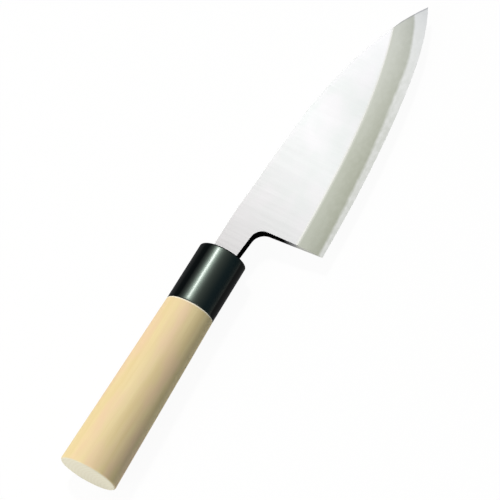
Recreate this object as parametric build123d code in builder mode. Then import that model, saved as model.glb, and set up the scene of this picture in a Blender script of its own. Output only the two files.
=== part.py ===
from build123d import *
from math import cos, pi, radians, sin, tan
import os

from numpy.polynomial import Polynomial

# A right-handed deba: a single-bevel blade of two steels with a tapered tang, set with
# resin in an oval wooden handle that has a black oval ferrule at its mouth.
# X runs along the knife to the tip, Y across it to the spine, Z up out of the front of the
# blade. The origin is under the middle of the whole knife, level with its lowest point.
# All lengths are in millimetres.

# Handle and ferrule
handle_length = 120.6
ferrule_length = 31.1
ferrule_width = 24.0
ferrule_thickness = 19.5
butt_width = 27.7
butt_round = 1.0
ferrule_front_round = 0.9
seam_chamfer = 0.35
ferrule_front_wall = 5.0
ferrule_side_wall = 2.4
tenon_gap = 0.1
round_steps = 5
swell_steps = 3

# Blade seen from the front
blade_length = 149.9
blade_height = 46.5
spine_rise = 6.1
heel_distance = 21.0
heel_angle = 2.5
neck_height = 12.2
choil_drop = 7.85
choil_radius = 6.5

# The long lines of the blade at stations from the heel, 0, to the tip, 1, as shares of the
# blade's height above its heel corner. The spine and the edge meet at the tip. Where the
# shinogi would lie above the spine, the bevel reaches right up to the spine.
station_shares = (0.0, 0.2, 0.4, 0.6, 0.8, 1.0)
spine_shares = (1.0, 0.97, 0.934, 0.849, 0.681, 0.411)
shinogi_shares = (0.271, 0.293, 0.335, 0.412, 0.541, 0.75)
edge_shares = (0.0, 0.012, 0.047, 0.107, 0.207, 0.411)

# Blade in cross section
spine_thickness = 6.0
shinogi_thickness = 2.8
flat_tip_thickness = 2.4
spine_chamfer = 0.35

# Hard steel layer: its thickness over the edge at each station, as shares of one thickness,
# and how much it thickens from the edge towards the spine. On the neck it is forged out to
# nothing at a slant.
layer_thickness = 1.0
layer_shares = (0.42, 0.62, 0.7, 0.84, 0.95, 2.2)
layer_rise_share = 0.02
layer_start = 9.0
layer_start_angle = 12.0

# Hollow back, ground on a large wheel inside a flat rim
wheel_radius = 400.0
edge_rim = 2.6
spine_rim = 3.4
heel_rim = 3.2
tip_rim = 9.0
hollow_sections = 20
hollow_squareness = 3.2

# Tang and the resin that holds it
tang_length = 92.0
tang_end_height = 5.0
tang_end_thickness = 2.6
resin_gap = 0.8
resin_end = 4.0
hole_corner_radius = 1.2

# How far cuts run past what they cut
overrun = 3.0

os.makedirs("parts", exist_ok=True)

# The ferrule's front face lies on the axis of the handle. Places along the knife are
# measured from that face, and thicknesses of the blade from its flat back.
blade_reach = heel_distance + blade_length
heel_drop = blade_height - spine_rise
neck_foot = spine_rise - neck_height
face_x = (handle_length - blade_reach) / 2
butt_thickness = butt_width * ferrule_thickness / ferrule_width
axis_y = (heel_drop - butt_width / 2) / 2
axis_z = butt_thickness / 2
back_z = axis_z - spine_thickness / 2


def cross_section(distance, height):
    """Plane square to the knife: its x points to the spine and its y up."""
    return Plane(origin=(face_x + distance, axis_y, height), x_dir=(0, 1, 0), z_dir=(1, 0, 0))


def long_line(shares):
    """Smooth curve through one share at each station."""
    return Polynomial.fit(station_shares, shares, len(station_shares) - 1)


spine_line = long_line(spine_shares)
shinogi_line = long_line(shinogi_shares)
edge_line = long_line(edge_shares)
layer_line = long_line(layer_shares)


def along(share):
    """Distance of a section of the blade from the ferrule's face."""
    return heel_distance + blade_length * share


def across(share):
    """Place of a share of the blade's height, from the handle's axis towards the spine."""
    return blade_height * share - heel_drop


# The front flat falls from the spine to the edge, and from the heel to the tip
side_fall = (spine_thickness - shinogi_thickness) / (blade_height * (1 - shinogi_shares[0]))
tip_drop = blade_height * (1 - spine_shares[-1])
tip_fall = (spine_thickness - side_fall * tip_drop - flat_tip_thickness) / blade_length


def flat_thickness(distance, place):
    """Thickness of the blade under its front flat."""
    to_edge = side_fall * (spine_rise - place)
    to_tip = tip_fall * (distance - heel_distance)
    return spine_thickness - to_edge - to_tip


# Sections of the blade, from a little behind the heel to a little past the tip
section_shares = [step / 10 for step in range(-1, 12)]

# Everything in front of the bevel, which is ruled from the sharp edge up to the shinogi
low = -heel_drop - overrun
top = spine_thickness + overrun
with BuildPart() as bevel_cutter:
    for share in section_shares:
        shinogi = across(shinogi_line(share))
        edge = across(edge_line(share))
        rise = flat_thickness(along(share), shinogi)
        slope = rise / (shinogi - edge)
        with BuildSketch(cross_section(along(share), back_z)):
            with BuildLine():
                Polyline(
                    (low, slope * (low - edge)),
                    (shinogi + overrun, rise + slope * overrun),
                    (shinogi + overrun, top),
                    (low, top),
                    close=True,
                )
            make_face()
    loft()

# The forged and ground blade, before it is parted into its two steels
heel_lean = tan(radians(heel_angle))
with BuildPart() as blank:
    with BuildSketch(Plane(origin=(face_x, axis_y, back_z))) as outline:
        with BuildLine():
            spine_points = [(along(s), across(spine_line(s))) for s in section_shares[1:]]
            spine = Spline((0, spine_rise), (heel_distance / 2, spine_rise), *spine_points)
            end = (along(section_shares[-1]), low)
            heel_foot = (heel_distance + heel_lean * overrun, low)
            choil = (heel_distance - heel_lean * (heel_drop - choil_drop), -choil_drop)
            Polyline(spine @ 1, end, heel_foot, choil, (0, neck_foot), spine @ 0)
        make_face()
        corner = outline.vertices().sort_by_distance(choil)[0]
        fillet(corner, radius=choil_radius)
    extrude(amount=top)
    front_flat = Plane(
        origin=(face_x + heel_distance, axis_y + spine_rise, back_z + spine_thickness),
        z_dir=(tip_fall, -side_fall, 1),
    )
    split(bisect_by=front_flat, keep=Keep.BOTTOM)
    spine_face = blank.faces().sort_by(Axis.Y)[-1]
    chamfer(spine_face.edges().sort_by(Axis.Z)[-1], length=spine_chamfer)
    add(bevel_cutter.part, mode=Mode.SUBTRACT)

# The tang runs back from the neck and tapers in height and thickness
with BuildPart() as tang:
    with BuildSketch(cross_section(0, back_z)):
        with BuildLine():
            Polyline(
                (neck_foot, 0),
                (spine_rise, 0),
                (spine_rise, flat_thickness(0, spine_rise)),
                (neck_foot, flat_thickness(0, neck_foot)),
                close=True,
            )
        make_face()
    with BuildSketch(cross_section(-tang_length, axis_z)):
        Rectangle(tang_end_height, tang_end_thickness)
    loft()

# The layer of hard steel: all of the blade below the weld between the two steels
with BuildPart() as hard_zone:
    for share in section_shares:
        edge = across(edge_line(share))
        near = edge - overrun
        far = spine_rise + overrun
        weld = layer_thickness * layer_line(max(share, 0))
        with BuildSketch(cross_section(along(share), back_z)):
            with BuildLine():
                Polyline(
                    (near, -overrun),
                    (far, -overrun),
                    (far, weld + layer_rise_share * (far - edge)),
                    (near, weld - layer_rise_share * (edge - near)),
                    close=True,
                )
            make_face()
    loft()
    start = Plane(
        origin=(face_x + layer_start, axis_y, back_z),
        z_dir=(-tan(radians(layer_start_angle)), 0, 1),
    )
    split(bisect_by=start, keep=Keep.BOTTOM)

# The hollow in the back: each section is a shallow segment of the grinding wheel, and the
# widths follow a superellipse from end to end
hollow_start = heel_rim / blade_length
hollow_end = 1 - tip_rim / blade_length
with BuildPart() as hollow_cutter:
    for step in range(1, hollow_sections):
        swing = cos(pi * step / hollow_sections)
        share = (hollow_start + hollow_end) / 2 - swing * (hollow_end - hollow_start) / 2
        width_share = (1 - abs(swing) ** hollow_squareness) ** (1 / hollow_squareness)
        edge_side = across(edge_line(share)) + edge_rim
        spine_side = across(spine_line(share)) - spine_rim
        middle = (edge_side + spine_side) / 2
        half = width_share * (spine_side - edge_side) / 2
        depth = half * half / (2 * wheel_radius)
        with BuildSketch(cross_section(along(share), back_z)):
            with BuildLine():
                ThreePointArc((middle - half, 0), (middle, depth), (middle + half, 0))
                Polyline(
                    (middle + half, 0),
                    (middle + half, -overrun),
                    (middle - half, -overrun),
                    (middle - half, 0),
                )
            make_face()
    loft()

with BuildPart() as iron_cladding:
    add(blank.part)
    add(tang.part)
    add(hard_zone.part, mode=Mode.SUBTRACT)

with BuildPart() as steel_edge:
    add(blank.part)
    add(hard_zone.part, mode=Mode.INTERSECT)
    add(hollow_cutter.part, mode=Mode.SUBTRACT)

# The tapered hole for the tang, through the ferrule's front and down the wood
with BuildPart() as tang_hole:
    with BuildSketch(cross_section(0, axis_z)):
        with Locations((spine_rise - neck_height / 2, 0)):
            RectangleRounded(
                neck_height + 2 * resin_gap,
                spine_thickness + 2 * resin_gap,
                hole_corner_radius,
            )
    with BuildSketch(cross_section(-tang_length - resin_end, axis_z)):
        RectangleRounded(
            tang_end_height + 2 * resin_gap,
            tang_end_thickness + 2 * resin_gap,
            hole_corner_radius,
        )
    loft()

with BuildPart() as tang_resin:
    add(tang_hole.part)
    add(tang.part, mode=Mode.SUBTRACT)

# Sections of a rounded end as the turns of its quarter circle, from the side to the face
turns = [pi / 2 * step / round_steps for step in range(round_steps + 1)]

# The ferrule: a black oval cap with a socket for the handle's tenon
with BuildPart() as ferrule:
    with BuildSketch(cross_section(-ferrule_length, axis_z)):
        Ellipse(ferrule_width / 2 - seam_chamfer, ferrule_thickness / 2 - seam_chamfer)
    with BuildSketch(cross_section(-ferrule_length + seam_chamfer, axis_z)):
        Ellipse(ferrule_width / 2, ferrule_thickness / 2)
    for turn in turns:
        inset = ferrule_front_round * (1 - cos(turn))
        back = ferrule_front_round * (1 - sin(turn))
        with BuildSketch(cross_section(-back, axis_z)):
            Ellipse(ferrule_width / 2 - inset, ferrule_thickness / 2 - inset)
    loft(ruled=True)
    with BuildSketch(cross_section(-ferrule_length, axis_z)):
        Ellipse(
            ferrule_width / 2 - ferrule_side_wall,
            ferrule_thickness / 2 - ferrule_side_wall,
        )
    extrude(amount=ferrule_length - ferrule_front_wall, mode=Mode.SUBTRACT)
    add(tang_hole.part, mode=Mode.SUBTRACT)

# The wooden handle: an oval that swells to the butt, with a tenon for the ferrule
butt_swell = butt_width - ferrule_width
swell_length = handle_length - ferrule_length - seam_chamfer - butt_round
with BuildPart() as wooden_handle:
    with BuildSketch(cross_section(-ferrule_length, axis_z)):
        Ellipse(ferrule_width / 2 - seam_chamfer, ferrule_thickness / 2 - seam_chamfer)
    for step in range(swell_steps):
        half = (ferrule_width + butt_swell * step / swell_steps) / 2
        back = seam_chamfer + swell_length * step / swell_steps
        with BuildSketch(cross_section(-ferrule_length - back, axis_z)):
            Ellipse(half, half * ferrule_thickness / ferrule_width)
    for turn in turns:
        inset = butt_round * (1 - cos(turn))
        forward = butt_round * (1 - sin(turn))
        with BuildSketch(cross_section(-handle_length + forward, axis_z)):
            Ellipse(butt_width / 2 - inset, butt_thickness / 2 - inset)
    loft(ruled=True)
    with BuildSketch(cross_section(-ferrule_length, axis_z)):
        Ellipse(
            ferrule_width / 2 - ferrule_side_wall - tenon_gap,
            ferrule_thickness / 2 - ferrule_side_wall - tenon_gap,
        )
    extrude(amount=ferrule_length - ferrule_front_wall)
    add(tang_hole.part, mode=Mode.SUBTRACT)

for name, piece in (
    ("iron_cladding", iron_cladding),
    ("steel_edge", steel_edge),
    ("tang_resin", tang_resin),
    ("ferrule", ferrule),
    ("wooden_handle", wooden_handle),
):
    piece.part.label = name
    export_step(piece.part, f"parts/{name}.step")
    print(name, len(piece.part.solids()), round(piece.part.volume), piece.part.bounding_box())
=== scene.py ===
from functools import partial

import bmesh
import bpy
import numpy as np
from mathutils import Matrix, Vector


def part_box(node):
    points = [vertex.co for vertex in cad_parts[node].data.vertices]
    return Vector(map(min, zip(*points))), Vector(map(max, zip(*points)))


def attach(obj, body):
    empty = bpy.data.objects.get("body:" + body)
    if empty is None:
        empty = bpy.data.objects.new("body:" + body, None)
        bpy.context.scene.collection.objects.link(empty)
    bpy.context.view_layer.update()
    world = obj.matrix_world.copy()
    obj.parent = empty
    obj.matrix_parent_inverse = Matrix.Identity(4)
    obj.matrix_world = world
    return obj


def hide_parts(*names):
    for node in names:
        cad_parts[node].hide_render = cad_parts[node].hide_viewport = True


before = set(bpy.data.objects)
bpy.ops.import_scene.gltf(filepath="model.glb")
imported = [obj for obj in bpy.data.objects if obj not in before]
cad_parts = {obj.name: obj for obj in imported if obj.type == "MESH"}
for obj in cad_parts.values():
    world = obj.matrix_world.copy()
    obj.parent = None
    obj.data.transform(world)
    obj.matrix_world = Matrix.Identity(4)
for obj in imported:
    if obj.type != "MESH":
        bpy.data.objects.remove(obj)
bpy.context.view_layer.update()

mm = 0.001
white = (1.0, 1.0, 1.0, 1.0)
sharpAngle = np.radians(40)      # a steeper turn than this is shaded as an edge
samePoint = 1e-7                 # points of a pole closer than this become one
scene = bpy.context.scene
scene.view_settings.view_transform = "Standard"


def linear(hexText):
    # sRGB hex to the linear values that the shaders take
    parts = [int(hexText[i:i + 2], 16) / 255 for i in (1, 3, 5)]
    return [c / 12.92 if c < 0.04045 else ((c + 0.055) / 1.055) ** 2.4 for c in parts] + [1.0]


def addNode(tree, kind, inputs=(), **settings):
    # adds one node. Its inputs are a list in the order of its live sockets, or a dictionary
    # by their names; each is a number, a hex colour, or the node or socket that feeds it
    node = tree.nodes.new("ShaderNode" + kind)
    for key, value in settings.items():
        setattr(node, key, value)
    live = [socket for socket in node.inputs if socket.enabled]
    for key, value in inputs.items() if isinstance(inputs, dict) else enumerate(inputs):
        socket = node.inputs[key] if isinstance(key, str) else live[key]
        if isinstance(value, bpy.types.Node):
            value = next(output for output in value.outputs if output.enabled)
        if isinstance(value, bpy.types.NodeSocket):
            tree.links.new(value, socket)
        else:
            socket.default_value = linear(value) if isinstance(value, str) else value
    return node


def newMaterial(name):
    # an empty material, with addNode bound to its tree
    made = bpy.data.materials.new(name)
    made.use_nodes = True
    made.node_tree.nodes.clear()
    return made, partial(addNode, made.node_tree)


def perLump(size):
    # pattern scale that gives lumps of the (x, y, z) size in metres
    return [1 / length for length in size]


def gridMesh(name, points, material, ringOfRows=False):
    # points[row, column] is a grid whose every row closes on itself; with ringOfRows the
    # last row joins the first as well. Four neighbours on the grid make one face.
    rows, columns = points.shape[:2]
    mesh = bpy.data.meshes.new(name)
    mesh.vertices.add(rows * columns)
    mesh.vertices.foreach_set("co", points.reshape(-1).astype(np.float32))
    row, column = np.meshgrid(np.arange(rows if ringOfRows else rows - 1), np.arange(columns),
                              indexing="ij")
    beside, above = (column + 1) % columns, (row + 1) % rows
    quads = np.stack([row * columns + column, row * columns + beside,
                      above * columns + beside, above * columns + column], axis=-1)
    quads = quads.reshape(-1, 4)
    mesh.loops.add(quads.size)
    mesh.loops.foreach_set("vertex_index", quads.reshape(-1).astype(np.int32))
    mesh.polygons.add(len(quads))
    mesh.polygons.foreach_set("loop_start", np.arange(0, quads.size, 4, dtype=np.int32))
    mesh.polygons.foreach_set("use_smooth", np.ones(len(quads), dtype=bool))
    mesh.update(calc_edges=True)
    shape = bmesh.new()
    shape.from_mesh(mesh)
    bmesh.ops.remove_doubles(shape, verts=shape.verts, dist=samePoint)
    bmesh.ops.recalc_face_normals(shape, faces=shape.faces)
    shape.to_mesh(mesh)
    shape.free()
    mesh.set_sharp_from_angle(angle=sharpAngle)
    mesh.materials.append(material)
    made = bpy.data.objects.new(name, mesh)
    scene.collection.objects.link(made)
    return made


# Camera, at the photograph's place
camera = {
    "place": (-0.33747, -0.23325, 0.70772),
    "aim": (-0.01143, 0.00766, -0.0001),
    "up": (0.78056, 0.38665, 0.49114),
    "lens": 125.42,
    "sensor": 36,
}
eye = Vector(camera["place"])
back = (eye - Vector(camera["aim"])).normalized()
side = Vector(camera["up"]).cross(back).normalized()
upright = back.cross(side)
cameraData = bpy.data.cameras.new("photoCamera")
cameraData.lens = camera["lens"]
cameraData.sensor_width = camera["sensor"]
photoCamera = bpy.data.objects.new("photoCamera", cameraData)
turn = Matrix((side, upright, back)).transposed()
photoCamera.matrix_world = Matrix.Translation(eye) @ turn.to_4x4()
scene.collection.objects.link(photoCamera)
scene.camera = photoCamera
print("camera: set at the photograph's place")

# Studio: a white floor under a soft room, darker beyond the cutting edge
studio = {
    "floorSize": 3.0,
    "floorColour": "#dcdbd7",
    "whiteShare": 0.93,       # of the floor that is seen as plain white; the rest shows the shadow
    "whiteLevel": 1.02,
    "roomSlant": 0.8,         # how much the glow grows towards the spine's side as well as up
    "roomEnd": 0.9,
    "roomLow": (0.050, 0.098, 0.140, 1.0),
    "roomHigh": (0.40, 0.40, 0.39, 1.0),
    "lamps": [
        # name, direction from the knife, distance, size, watts
        ("keySoftbox", (0.40, 0.36, 0.84), 2.6, 0.28, 38.0),
        ("buttCard", (-0.85, 0.25, 0.45), 1.0, 0.60, 5.0),
    ],
    "lampAim": (-0.04, 0.013, 0.011),
}


def anyRay(add, *names):
    # 1 where the ray is one of the named kinds
    path = add("LightPath")
    seen = path.outputs[names[0]]
    for name in names[1:]:
        seen = add("Math", [seen, path.outputs[name]], operation="MAXIMUM")
    return seen


def makeStudio():
    material, add = newMaterial("studioPaper")
    paper = add("BsdfDiffuse", {"Color": studio["floorColour"]})
    glow = add("Emission", [white, studio["whiteLevel"]])
    shown = add("MixShader", [studio["whiteShare"], paper, glow])
    seen = anyRay(add, "Is Camera Ray", "Is Glossy Ray", "Is Transmission Ray")
    add("OutputMaterial", [add("MixShader", [seen, paper, shown])])
    half = studio["floorSize"] / 2
    mesh = bpy.data.meshes.new("floor")
    mesh.from_pydata([(-half, -half, 0), (half, -half, 0), (half, half, 0), (-half, half, 0)],
                     [], [(0, 1, 2, 3)])
    mesh.materials.append(material)
    floor = bpy.data.objects.new("floor", mesh)
    scene.collection.objects.link(floor)
    world = bpy.data.worlds.new("softRoom")
    scene.world = world
    world.use_nodes = True
    world.node_tree.nodes.clear()
    add = partial(addNode, world.node_tree)
    toward = add("SeparateXYZ", [add("TexCoord").outputs["Generated"]])
    slant = add("Math", [toward.outputs["Y"], studio["roomSlant"], toward.outputs["Z"]],
                operation="MULTIPLY_ADD")
    share = add("MapRange", [slant, 0.0, studio["roomEnd"]], interpolation_type="SMOOTHSTEP")
    room = add("Mix", [share, studio["roomLow"], studio["roomHigh"]], data_type="RGBA")
    direct = anyRay(add, "Is Camera Ray", "Is Transmission Ray")
    sky = add("Background", [add("Mix", [direct, room, white], data_type="RGBA"), 1.0])
    add("OutputWorld", [sky])
    for name, direction, distance, size, watts in studio["lamps"]:
        lamp = bpy.data.lights.new(name, "AREA")
        lamp.shape = "SQUARE"
        lamp.size = size
        lamp.energy = watts
        holder = bpy.data.objects.new(name, lamp)
        toLamp = Vector(direction).normalized()
        holder.location = Vector(studio["lampAim"]) + toLamp * distance
        holder.rotation_mode = "QUATERNION"
        holder.rotation_quaternion = toLamp.to_track_quat("Z", "Y")
        scene.collection.objects.link(holder)
    print("studio: floor, room and", len(studio["lamps"]), "lamps")


makeStudio()

# Sizes that the handle and the ferrule share with the solids
handleLow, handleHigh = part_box("wooden_handle")
ferruleLow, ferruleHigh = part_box("ferrule")
resinLow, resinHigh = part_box("tang_resin")
axisY, axisZ = (ferruleLow.y + ferruleHigh.y) / 2, (ferruleLow.z + ferruleHigh.z) / 2
mouthHalf = np.array([ferruleHigh.y - axisY, ferruleHigh.z - axisZ])
buttHalf = np.array([handleHigh.y - axisY, handleHigh.z - axisZ])
fit = {
    "turns": 160,               # points round a section
    "wall": 2.4 * mm,           # of the ferrule round the tenon
    "gap": 0.1 * mm,
    "holeCorner": 1.2 * mm,
    "holeEnd": (3.3 * mm, 2.1 * mm),   # half sizes at the end of the tang's hole
    "holeRows": 6,
    "roundRows": 10,            # of a rounded edge
}
holeY = (resinLow.y + resinHigh.y) / 2
holeMouth = (resinHigh.y - holeY, (resinHigh.z - resinLow.z) / 2)
tenonHalf = mouthHalf - fit["wall"] - fit["gap"]
quarter = np.linspace(0, np.pi / 2, fit["roundRows"])


def ovalRow(x, half):
    # x, centre in Y, straight half sizes, round half sizes: all round is an oval
    return [x, axisY, 0.0, 0.0, half[0], half[1]]


def holeRow(share):
    # the tang's hole narrows evenly from its mouth, 0, to its end, 1
    half = np.array(holeMouth) * (1 - share) + np.array(fit["holeEnd"]) * share
    straight = half - fit["holeCorner"]
    x = resinHigh.x * (1 - share) + resinLow.x * share
    return [x, holeY * (1 - share) + axisY * share, *straight, *[fit["holeCorner"]] * 2]


def sweepRows(rows):
    # each row is a closed section: a straight half size with the sign of the cosine or the
    # sine, and a round one times the cosine or the sine itself
    x, centre, straightY, straightZ, roundY, roundZ = np.array(rows).T[:, :, None]
    angle = (np.arange(fit["turns"]) + 0.5) * 2 * np.pi / fit["turns"]
    across, up = np.cos(angle), np.sin(angle)
    return np.stack([x + 0 * angle,
                     centre + straightY * np.sign(across) + roundY * across,
                     axisZ + straightZ * np.sign(up) + roundZ * up], axis=-1)


# Wooden handle
wood = {
    "shades": [(0.30, "#e2ca92"), (0.47, "#e5ce98"), (0.60, "#e8d29d"), (0.75, "#ebd6a3")],
    "blush": "#e8c8a1",        # soft pinkish patches in the sapwood
    "blushShare": 0.75,
    # painted highlight: a pale band on the wood by the seam
    "paintedEdgeHighlight": "#fff4da",
    # partly painted light: the sawn end is paler than the side wood, partly for the light on the
    # butt
    "endGrain": "#e9e2cb",
    "endRing": "#dcd2b4",
    "endRingShare": 0.3,
    "endDepth": (0.5 * mm, 0.1 * mm),     # the end grain's colour comes in over this depth
    "streak": (70 * mm, 3.0 * mm, 3.0 * mm),
    "fibre": (12 * mm, 0.5 * mm, 0.5 * mm),
    "fibreShare": 0.22,
    "blushSize": (24 * mm, 7 * mm, 7 * mm),
    "blushSpan": (0.44, 0.66),
    "ringWidth": 1.6 * mm,
    "heartOffset": (-22 * mm, -9 * mm),   # of the tree's middle from the handle's axis
    "roughness": 0.62,
    "relief": 0.15,
    "reliefDepth": 0.1 * mm,
    "buttRound": 1.0 * mm,
    "seamEase": 0.45 * mm,
    "endRows": 9,
    "bodyRows": 40,
}
waveStep = 2 * np.pi / 20      # spacing of the wave pattern's rings at scale 1


def woodMaterial():
    # magnolia wood, sanded and unvarnished: a dry pale surface with long faint streaks and
    # pinkish patches, a painted highlight in a pale band by the seam, and a paler sawn end with
    # growth rings, whose paleness is partly painted light on the butt
    material, add = newMaterial("sandedMagnolia")
    place = add("TexCoord").outputs["Object"]
    streaks = add("TexNoise", {
        "Vector": add("Mapping", {"Vector": place, "Scale": perLump(wood["streak"])}),
        "Scale": 1.0, "Detail": 3.0, "Roughness": 0.5, "Distortion": 0.4})
    fibres = add("TexNoise", {
        "Vector": add("Mapping", {"Vector": place, "Scale": perLump(wood["fibre"])}),
        "Scale": 1.0, "Detail": 3.0})
    grain = add("Mix", [wood["fibreShare"], streaks, fibres], data_type="FLOAT")
    shades = add("ValToRGB", [grain])
    bar = shades.color_ramp
    while len(bar.elements) < len(wood["shades"]):
        bar.elements.new(0.5)
    for element, (position, hexText) in zip(bar.elements, wood["shades"]):
        element.position = position
        element.color = linear(hexText)
    blush = add("TexNoise", {
        "Vector": add("Mapping", {"Vector": place, "Scale": perLump(wood["blushSize"])}),
        "Scale": 1.0, "Detail": 2.0})
    blushed = add("MapRange", [blush, *wood["blushSpan"], 0.0, wood["blushShare"]])
    body = add("Mix", [blushed, shades, wood["blush"]], data_type="RGBA")

    # the sawn end, with rings round the tree's middle; its paler colour is partly painted light on
    # the butt
    middle = (0, -axisY - wood["heartOffset"][0], -axisZ - wood["heartOffset"][1])
    rings = add("TexWave", {
        "Vector": add("Mapping", {"Vector": place, "Location": middle}),
        "Scale": waveStep / wood["ringWidth"], "Distortion": 3.0, "Detail": 2.0,
        "Detail Scale": 0.6}, wave_type="RINGS", rings_direction="X")
    ringShare = add("Math", [rings.outputs["Fac"], wood["endRingShare"]], operation="MULTIPLY")
    end = add("Mix", [ringShare, wood["endGrain"], wood["endRing"]], data_type="RGBA")

    x = add("SeparateXYZ", [place])
    onEnd = add("MapRange", [x, *[handleLow.x + depth for depth in wood["endDepth"]]])
    # painted highlight: a pale band on the wood just behind the seam
    seamHighlight = add("MapRange", [x, ferruleLow.x - 2 * wood["seamEase"],
                              ferruleLow.x - wood["seamEase"]])
    body = add("Mix", [seamHighlight, body, wood["paintedEdgeHighlight"]], data_type="RGBA")
    colour = add("Mix", [onEnd, body, end], data_type="RGBA")
    bump = add("Bump", {"Strength": wood["relief"], "Distance": wood["reliefDepth"],
                        "Height": grain})
    surface = add("BsdfPrincipled", {"Base Color": colour, "Roughness": wood["roughness"],
                                     "IOR": 1.5, "Normal": bump})
    add("OutputMaterial", [surface])
    return material


def makeHandle():
    # rows from the middle of the butt, over its rounding, along the oval that narrows evenly
    # to the seam, down the tenon, and back in through the hole for the tang
    seam, butt = ferruleLow.x, handleLow.x
    cut, ease = wood["buttRound"], wood["seamEase"]
    rows = [ovalRow(butt, (buttHalf - cut) * share)
            for share in np.linspace(0, 1, wood["endRows"])]
    rows += [ovalRow(butt + cut * (1 - np.cos(a)), buttHalf - cut * (1 - np.sin(a)))
             for a in quarter[1:]]
    for x in np.linspace(butt + cut, seam - ease, wood["bodyRows"])[1:]:
        growth = (seam - x) / (seam - butt)
        rows.append(ovalRow(x, mouthHalf * (1 - growth) + buttHalf * growth))
    rows += [ovalRow(seam - ease + ease * np.sin(a), mouthHalf - ease * (1 - np.cos(a)))
             for a in quarter[1:]]
    rows += [ovalRow(seam, tenonHalf), ovalRow(handleHigh.x, tenonHalf)]
    tenonShare = (resinHigh.x - handleHigh.x) / (resinHigh.x - resinLow.x)
    rows += [holeRow(share) for share in np.linspace(tenonShare, 1, fit["holeRows"])]
    rows.append([resinLow.x, axisY, 0, 0, 0, 0])
    piece = gridMesh("handleWood", sweepRows(rows), woodMaterial())
    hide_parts("wooden_handle")
    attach(piece, "root")
    print("handle: oval wood", len(piece.data.polygons), "faces")


makeHandle()

# Ferrule
ferrule = {
    "colour": "#010506",
    "frontRound": 0.9 * mm,
    "rearEase": 0.35 * mm,
    "frontWall": 5.0 * mm,
    "ripple": (9 * mm, 3 * mm, 3 * mm),
    "relief": 0.015,
    "reliefDepth": 0.2 * mm,
    "glowLevel": 0.62,
    "glowTint": "#e8ffee",
    "glowRoughness": 0.37,
    "glowFade": (0.13, 0.31),      # how far a face turns away while the glow goes
    "polish": 0.15,                # share of the clear coat, which gives the sharp highlight
    "polishRoughness": 0.17,
    "bodyRows": 24,
    "wallRows": 3,
    "socketRows": 4,
}


def ferruleMaterial():
    # moulded black plastic, polished: near black with a clear highlight in a soft glow
    material, add = newMaterial("polishedBlackPlastic")
    place = add("TexCoord").outputs["Object"]
    ripple = add("TexNoise", {
        "Vector": add("Mapping", {"Vector": place, "Scale": perLump(ferrule["ripple"])}),
        "Scale": 1.0, "Detail": 2.0})
    bump = add("Bump", {"Strength": ferrule["relief"], "Distance": ferrule["reliefDepth"],
                        "Height": ripple})
    # a greenish glow round the sharp highlight of the polish, and none near the outline
    turned = add("LayerWeight", {"Blend": 0.5}).outputs["Facing"]
    glow = add("MapRange", [turned, *ferrule["glowFade"], ferrule["glowLevel"], 0.0])
    surface = add("BsdfPrincipled", {
        "Base Color": ferrule["colour"], "Roughness": ferrule["glowRoughness"], "IOR": 1.6,
        "Specular IOR Level": glow, "Specular Tint": ferrule["glowTint"],
        "Coat Weight": ferrule["polish"], "Coat IOR": 1.5,
        "Coat Roughness": ferrule["polishRoughness"], "Normal": bump, "Coat Normal": bump})
    add("OutputMaterial", [surface])
    return material


def makeFerrule():
    # rows along the oval outside from the seam to the rounded front, in through the tang's
    # hole, and back along the oval socket; the last row joins the first
    seam, face = ferruleLow.x, ferruleHigh.x
    cut, ease = ferrule["frontRound"], ferrule["rearEase"]
    socketEnd = face - ferrule["frontWall"]
    socket = mouthHalf - fit["wall"]
    rows = [ovalRow(seam + ease * (1 - np.cos(a)), mouthHalf - ease * (1 - np.sin(a)))
            for a in quarter]
    rows += [ovalRow(x, mouthHalf)
             for x in np.linspace(seam + ease, face - cut, ferrule["bodyRows"])[1:]]
    rows += [ovalRow(face - cut + cut * np.sin(a), mouthHalf - cut * (1 - np.cos(a)))
             for a in quarter[1:]]
    wallShare = (face - socketEnd) / (resinHigh.x - resinLow.x)
    rows += [holeRow(share) for share in np.linspace(0, wallShare, ferrule["wallRows"])]
    rows += [ovalRow(x, socket) for x in np.linspace(socketEnd, seam, ferrule["socketRows"])]
    piece = gridMesh("ferruleCap", sweepRows(rows), ferruleMaterial(), ringOfRows=True)
    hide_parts("ferrule")
    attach(piece, "root")
    print("ferrule: oval cap", len(piece.data.polygons), "faces")


makeFerrule()

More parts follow.
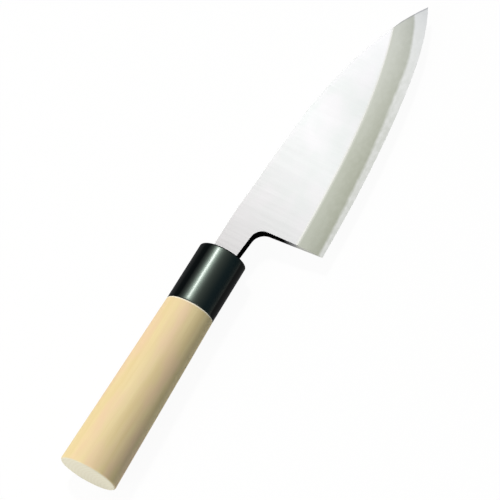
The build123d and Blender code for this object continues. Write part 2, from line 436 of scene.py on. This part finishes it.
# Blade. Its long lines are given at even stations from the heel to the tip, the spine and
# the shinogi as shares of its height and the weld in millimetres.
blade = {
    "heel": (-4.15 * mm, -27.125 * mm),
    "length": 149.9 * mm,
    "height": 46.5 * mm,
    "backHeight": 8.253 * mm,      # of the flat back over the floor
    "spineLine": (1.0, 0.97, 0.934, 0.849, 0.681, 0.411),
    "shinogi": (0.271, 0.293, 0.335, 0.412, 0.541, 0.75),
    "weld": (0.40, 0.56, 0.68, 0.88, 0.98, 2.6),   # its height over the flat back
    "weldTop": 3.0,                # of the curve that carries it
    "weldWander": 0.16,            # mm, up and down together
    "weldBlur": (-0.14, 0.14),     # mm under and over it
    "bevelRise": 1.9,              # mm over the weld, where the bevel reaches its upper colour
    "bevelMottle": 0.3,
    # painted shade: the flat greys towards the neck
    "neck": "#a3a1a1",
    "neckFade": (45 * mm, -42 * mm),       # along the slant from the heel to the neck's top
    "flat": ["#bfc1c0", "#c4c3c4"],
    # painted light: the flat is paler towards the tip
    "flatTipLight": "#d6d5d7",
    "flatTipLightFade": (0.55, 1.0),    # shares of the blade's length
    "flatLineShade": "#bebeb8",         # painted shade: a faint darker line on the flat where it meets the bevel
    "bevel": ["#b1b3a3", "#c4c6b9"],       # at the heel
    # painted light: the bevel is paler towards the tip
    "bevelTipLight": ["#cdcfc5", "#dfe0d9"],
    "bevelTipLightFade": (0.35, 1.0),
    # painted highlight: a pale line on the bevel along the shinogi
    "bevelLineHighlight": "#d7d8cf",
    "lineWidth": 1.2 * mm,
    "tipSpineShade": "#a6a6ab",         # painted shade: a grey line along the spine at the tip
    "tipSpineShadeWidth": 1.0 * mm,
    "tipSpineShadeShare": 0.8,
    "edge": ["#d8d9d3", "#e1e1dd"],
    # painted light: the hard steel band whitens towards the tip
    "edgeTipLightFade": (0.5, 1.05),
    "back": "#c9cac7",
    "spine": "#e9e9e6",
    "paintedEdgeHighlight": "#ffffff",        # painted highlight on the narrow eased edge between the flat and the spine
    # painted shade: black on the faces under the neck and round the heel
    "paintedShade": ["#050505", "#131211"],
    "paintedShadeFade": (-1.0 * mm, 7.0 * mm),    # the painted shade fades out towards the edge
    "paintedShadeRoughness": 0.3,                 # on top of the steel's
    "paintedShadeRim": 0.26 * mm,         # reach of the painted shade over the front edge under the neck
    "paintedShadeRimBlur": 0.06 * mm,
    "paintedShadeRimFade": (0.5 * mm, 3.5 * mm),  # it dies out round the choil, towards the heel
    "choilMiddle": (-11.82 * mm, -0.54 * mm),
    "choilRadius": 6.5 * mm,
    "neckLean": np.radians(5.1),           # of the neck's underside towards the heel
    "cloud": (14 * mm, 9 * mm, 9 * mm),
    "cloudSpan": (0.35, 0.65),     # the part of a pattern's range that the colours share
    "mottle": (3.5 * mm, 2.2 * mm, 2.2 * mm),
    "mottleSpan": (0.4, 0.7),
    "honedSpan": (0.4, 0.62),
    "grind": (0.7 * mm, 26 * mm, 26 * mm),   # grinding lines run from spine to edge
    "grindSpan": (0.3, 0.7),
    "roughness": 0.52,
    "roughnessRange": 0.012,
    "relief": 0.02,
    "reliefDepth": 0.05 * mm,
}
# How far a face's normal leans where one kind of face gives way to the next
lean = {
    "bevelY": (-0.13, -0.16),      # flat to bevel
    "backZ": (-0.6, -0.8),         # to the hollow back
    "spineY": (0.3, 0.5),          # to the spine and its eased edge
    "easedZ": (0.3, 0.5),          # spine to its eased edge
    "uprightZ": (0.6, 0.4),        # ground face to upright side
    "belowY": (0.5, 0.2),          # spine to the upright sides under it
}


def bladeMaterial():
    # laminated carbon steel: a satin ground flat, a duller greenish iron bevel, a brighter
    # honed band of hard steel along the edge, and black painted shade under the neck and
    # round the heel; painted light and shade also lie along the flat, the shinogi, the bevel
    # and the spine
    material, add = newMaterial("laminatedCarbonSteel")
    place = add("TexCoord").outputs["Object"]
    spot = add("SeparateXYZ", [place])
    facing = add("SeparateXYZ", [add("NewGeometry").outputs["True Normal"]])
    heelX, heelY = blade["heel"]
    share = add("MapRange", [spot.outputs["X"], heelX, heelX + blade["length"]])
    pattern = {}
    for name, detail in (("cloud", 3.0), ("mottle", 4.0), ("grind", 3.0)):
        scaled = add("Mapping", {"Vector": place, "Scale": perLump(blade[name])})
        pattern[name] = add("TexNoise", {"Vector": scaled, "Scale": 1.0, "Detail": detail})

    # the long lines are smooth curves through their heights
    line = {}
    for name, top in (("spineLine", 1.0), ("shinogi", 1.0), ("weld", blade["weldTop"])):
        curve = add("FloatCurve", {"Value": share})
        points = curve.mapping.curves[0].points
        while len(points) < len(blade[name]):
            points.new(0.5, 0.5)
        for i, height in enumerate(blade[name]):
            points[i].location = (i / (len(blade[name]) - 1), height / top)
        curve.mapping.update()
        line[name] = add("Math", [curve, top], operation="MULTIPLY")
    shinogiY = add("Math", [line["shinogi"], blade["height"], heelY], operation="MULTIPLY_ADD")
    spineY = add("Math", [line["spineLine"], blade["height"], heelY], operation="MULTIPLY_ADD")
    overLine = add("Math", [spot.outputs["Y"], shinogiY], operation="SUBTRACT")
    underSpine = add("Math", [spineY, spot.outputs["Y"]], operation="SUBTRACT")

    # the flat, with painted shade greying it by the neck and painted light paling it at the tip
    cloudy = add("MapRange", [pattern["cloud"], *blade["cloudSpan"]])
    flat = add("Mix", [cloudy, *blade["flat"]], data_type="RGBA")
    slant = add("Math", [spot.outputs["X"], spot.outputs["Y"]], operation="SUBTRACT")
    neckShadeShare = add("MapRange", [slant, *blade["neckFade"]])
    flat = add("Mix", [neckShadeShare, flat, blade["neck"]], data_type="RGBA")
    tipLightShare = add("MapRange", [share, *blade["flatTipLightFade"]])
    flat = add("Mix", [tipLightShare, flat, blade["flatTipLight"]], data_type="RGBA")
    # painted shade in a faint line on the flat along the shinogi
    shinogiShadeShare = add("MapRange", [overLine, blade["lineWidth"], 0.0])
    flat = add("Mix", [shinogiShadeShare, flat, blade["flatLineShade"]], data_type="RGBA")

    # the iron of the bevel, darkest next to the weld, with painted light paling it towards the tip
    wander = add("Math", [pattern["mottle"], blade["weldWander"], -blade["weldWander"] / 2],
                 operation="MULTIPLY_ADD")
    weld = add("Math", [line["weld"], wander], operation="ADD")
    rise = add("Math", [spot.outputs["Z"], 1 / mm, -blade["backHeight"] / mm],
               operation="MULTIPLY_ADD")
    overWeld = add("Math", [rise, weld], operation="SUBTRACT")
    toLine = add("Math", [add("MapRange", [pattern["mottle"], *blade["mottleSpan"]]),
                          blade["bevelMottle"],
                          add("MapRange", [overWeld, 0.0, blade["bevelRise"]])],
                 operation="MULTIPLY_ADD")
    bevelTipLightShare = add("MapRange", [share, *blade["bevelTipLightFade"]])
    atHeel = add("Mix", [toLine, *blade["bevel"]], data_type="RGBA")
    litTipBevel = add("Mix", [toLine, *blade["bevelTipLight"]], data_type="RGBA")
    iron = add("Mix", [bevelTipLightShare, atHeel, litTipBevel], data_type="RGBA")
    # painted highlight in a pale line on the bevel along the shinogi
    turned = add("MapRange", [overLine, -blade["lineWidth"], 0.0],
                 interpolation_type="SMOOTHSTEP")
    iron = add("Mix", [turned, iron, blade["bevelLineHighlight"]], data_type="RGBA")

    # the bright band of hard steel below the weld, with painted light whitening it towards the tip
    honed = add("MapRange", [pattern["mottle"], *blade["honedSpan"]])
    hard = add("Mix", [honed, *blade["edge"]], data_type="RGBA")
    edgeTipLight = add("MapRange", [share, *blade["edgeTipLightFade"]])
    hard = add("Mix", [edgeTipLight, hard, white], data_type="RGBA")
    onIron = add("MapRange", [overWeld, *blade["weldBlur"]])
    bevel = add("Mix", [onIron, hard, iron], data_type="RGBA")
    # painted shade in a grey line along the spine near the tip
    spineShade = add("MapRange", [underSpine, blade["tipSpineShadeWidth"], 0.0, 0.0,
                            blade["tipSpineShadeShare"]])
    bevel = add("Mix", [spineShade, bevel, blade["tipSpineShade"]], data_type="RGBA")

    # which face: the flat or the bevel, the hollow back, the spine, or the upright sides, painted
    # black as shade
    onBevel = add("MapRange", [facing.outputs["Y"], *lean["bevelY"]])
    onBack = add("MapRange", [facing.outputs["Z"], *lean["backZ"]])
    onSpine = add("MapRange", [facing.outputs["Y"], *lean["spineY"]])
    steel = add("Mix", [onBevel, flat, bevel], data_type="RGBA")
    steel = add("Mix", [onBack, steel, blade["back"]], data_type="RGBA")
    steel = add("Mix", [onSpine, steel, blade["spine"]], data_type="RGBA")
    towardZ = add("Math", [facing.outputs["Z"]], operation="ABSOLUTE")
    upright = add("MapRange", [towardZ, *lean["uprightZ"]])
    below = add("MapRange", [facing.outputs["Y"], *lean["belowY"]])
    aboveBevel = add("MapRange", [overLine, *blade["paintedShadeFade"]])
    # painted shade: black on upright faces turned away from the spine, above the bevel
    shadedSides = add("Math", [upright, below], operation="MULTIPLY")
    scaled = add("Math", [shadedSides, aboveBevel], operation="MULTIPLY")

    # the painted shade also reaches a little over the front edge along the neck and the choil: a
    # line that leans with the neck, turned into a circle round the choil's middle
    onto, along = np.cos(blade["neckLean"]), np.sin(blade["neckLean"])
    fromMiddle = add("VectorMath", [place, (*blade["choilMiddle"], 0)], operation="SUBTRACT")
    overNeck = add("VectorMath", [fromMiddle, (along, onto, 0)], operation="DOT_PRODUCT")
    pastNeck = add("VectorMath", [fromMiddle, (onto, -along, 0)], operation="DOT_PRODUCT")
    bent = add("CombineXYZ", [overNeck, add("Math", [pastNeck, 0.0], operation="MAXIMUM")])
    reach = add("VectorMath", [bent], operation="LENGTH")
    rimEnd = blade["choilRadius"] + blade["paintedShadeRim"]
    shadeRim = add("MapRange", [reach, rimEnd + blade["paintedShadeRimBlur"],
                           rimEnd - blade["paintedShadeRimBlur"]])
    shadeRim = add("Math", [shadeRim, add("MapRange", [spot.outputs["Y"], *blade["paintedShadeRimFade"]])],
              operation="MULTIPLY")
    scaled = add("Math", [scaled, shadeRim], operation="MAXIMUM")
    # the black of the painted shade, mottled
    paintedShade = add("Mix", [pattern["mottle"], *blade["paintedShade"]], data_type="RGBA")
    colour = add("Mix", [scaled, steel, paintedShade], data_type="RGBA")

    # the eased edge of the spine is too narrow for its reflections to show, so a painted
    # highlight stands in for them: plain white and not metal
    edgeHighlightShare = add("Math", [onSpine, add("MapRange", [facing.outputs["Z"], *lean["easedZ"]])],
                operation="MULTIPLY")
    colour = add("Mix", [edgeHighlightShare, colour, blade["paintedEdgeHighlight"]], data_type="RGBA")
    metallic = add("Math", [1.0, edgeHighlightShare], operation="SUBTRACT")
    ground = add("MapRange", [pattern["grind"], *blade["grindSpan"],
                              blade["roughness"] - blade["roughnessRange"],
                              blade["roughness"] + blade["roughnessRange"]])
    roughness = add("Math", [scaled, blade["paintedShadeRoughness"], ground],
                    operation="MULTIPLY_ADD")
    bump = add("Bump", {"Strength": blade["relief"], "Distance": blade["reliefDepth"],
                        "Height": pattern["grind"]})
    # a dark edge tint where the painted shade is black
    shadeEdgeTint = add("Mix", [scaled, white, blade["paintedShade"][1]], data_type="RGBA")
    surface = add("BsdfPrincipled", {"Base Color": colour, "Metallic": metallic,
                                     "Specular Tint": shadeEdgeTint, "Roughness": roughness,
                                     "Normal": bump})
    add("OutputMaterial", [surface])
    return material


# Resin round the tang
resin = {
    "colours": ["#0d0d0d", "#1a1918"],
    "cloud": (1.1 * mm, 1.1 * mm, 1.1 * mm),
    "cloudSpan": (0.35, 0.65),
    "roughness": 0.55,
}


def resinMaterial():
    # cast resin, dull and nearly black
    material, add = newMaterial("castResin")
    place = add("TexCoord").outputs["Object"]
    cloud = add("TexNoise", {
        "Vector": add("Mapping", {"Vector": place, "Scale": perLump(resin["cloud"])}),
        "Scale": 1.0, "Detail": 3.0})
    cloudy = add("MapRange", [cloud, *resin["cloudSpan"]])
    colour = add("Mix", [cloudy, *resin["colours"]], data_type="RGBA")
    surface = add("BsdfPrincipled", {"Base Color": colour, "Roughness": resin["roughness"]})
    add("OutputMaterial", [surface])
    return material


steelMade = bladeMaterial()
resinMade = resinMaterial()
for name, made in (("iron_cladding", steelMade), ("steel_edge", steelMade),
                   ("tang_resin", resinMade)):
    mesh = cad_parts[name].data
    mesh.materials.clear()
    mesh.materials.append(made)
print("blade and resin: materials set")
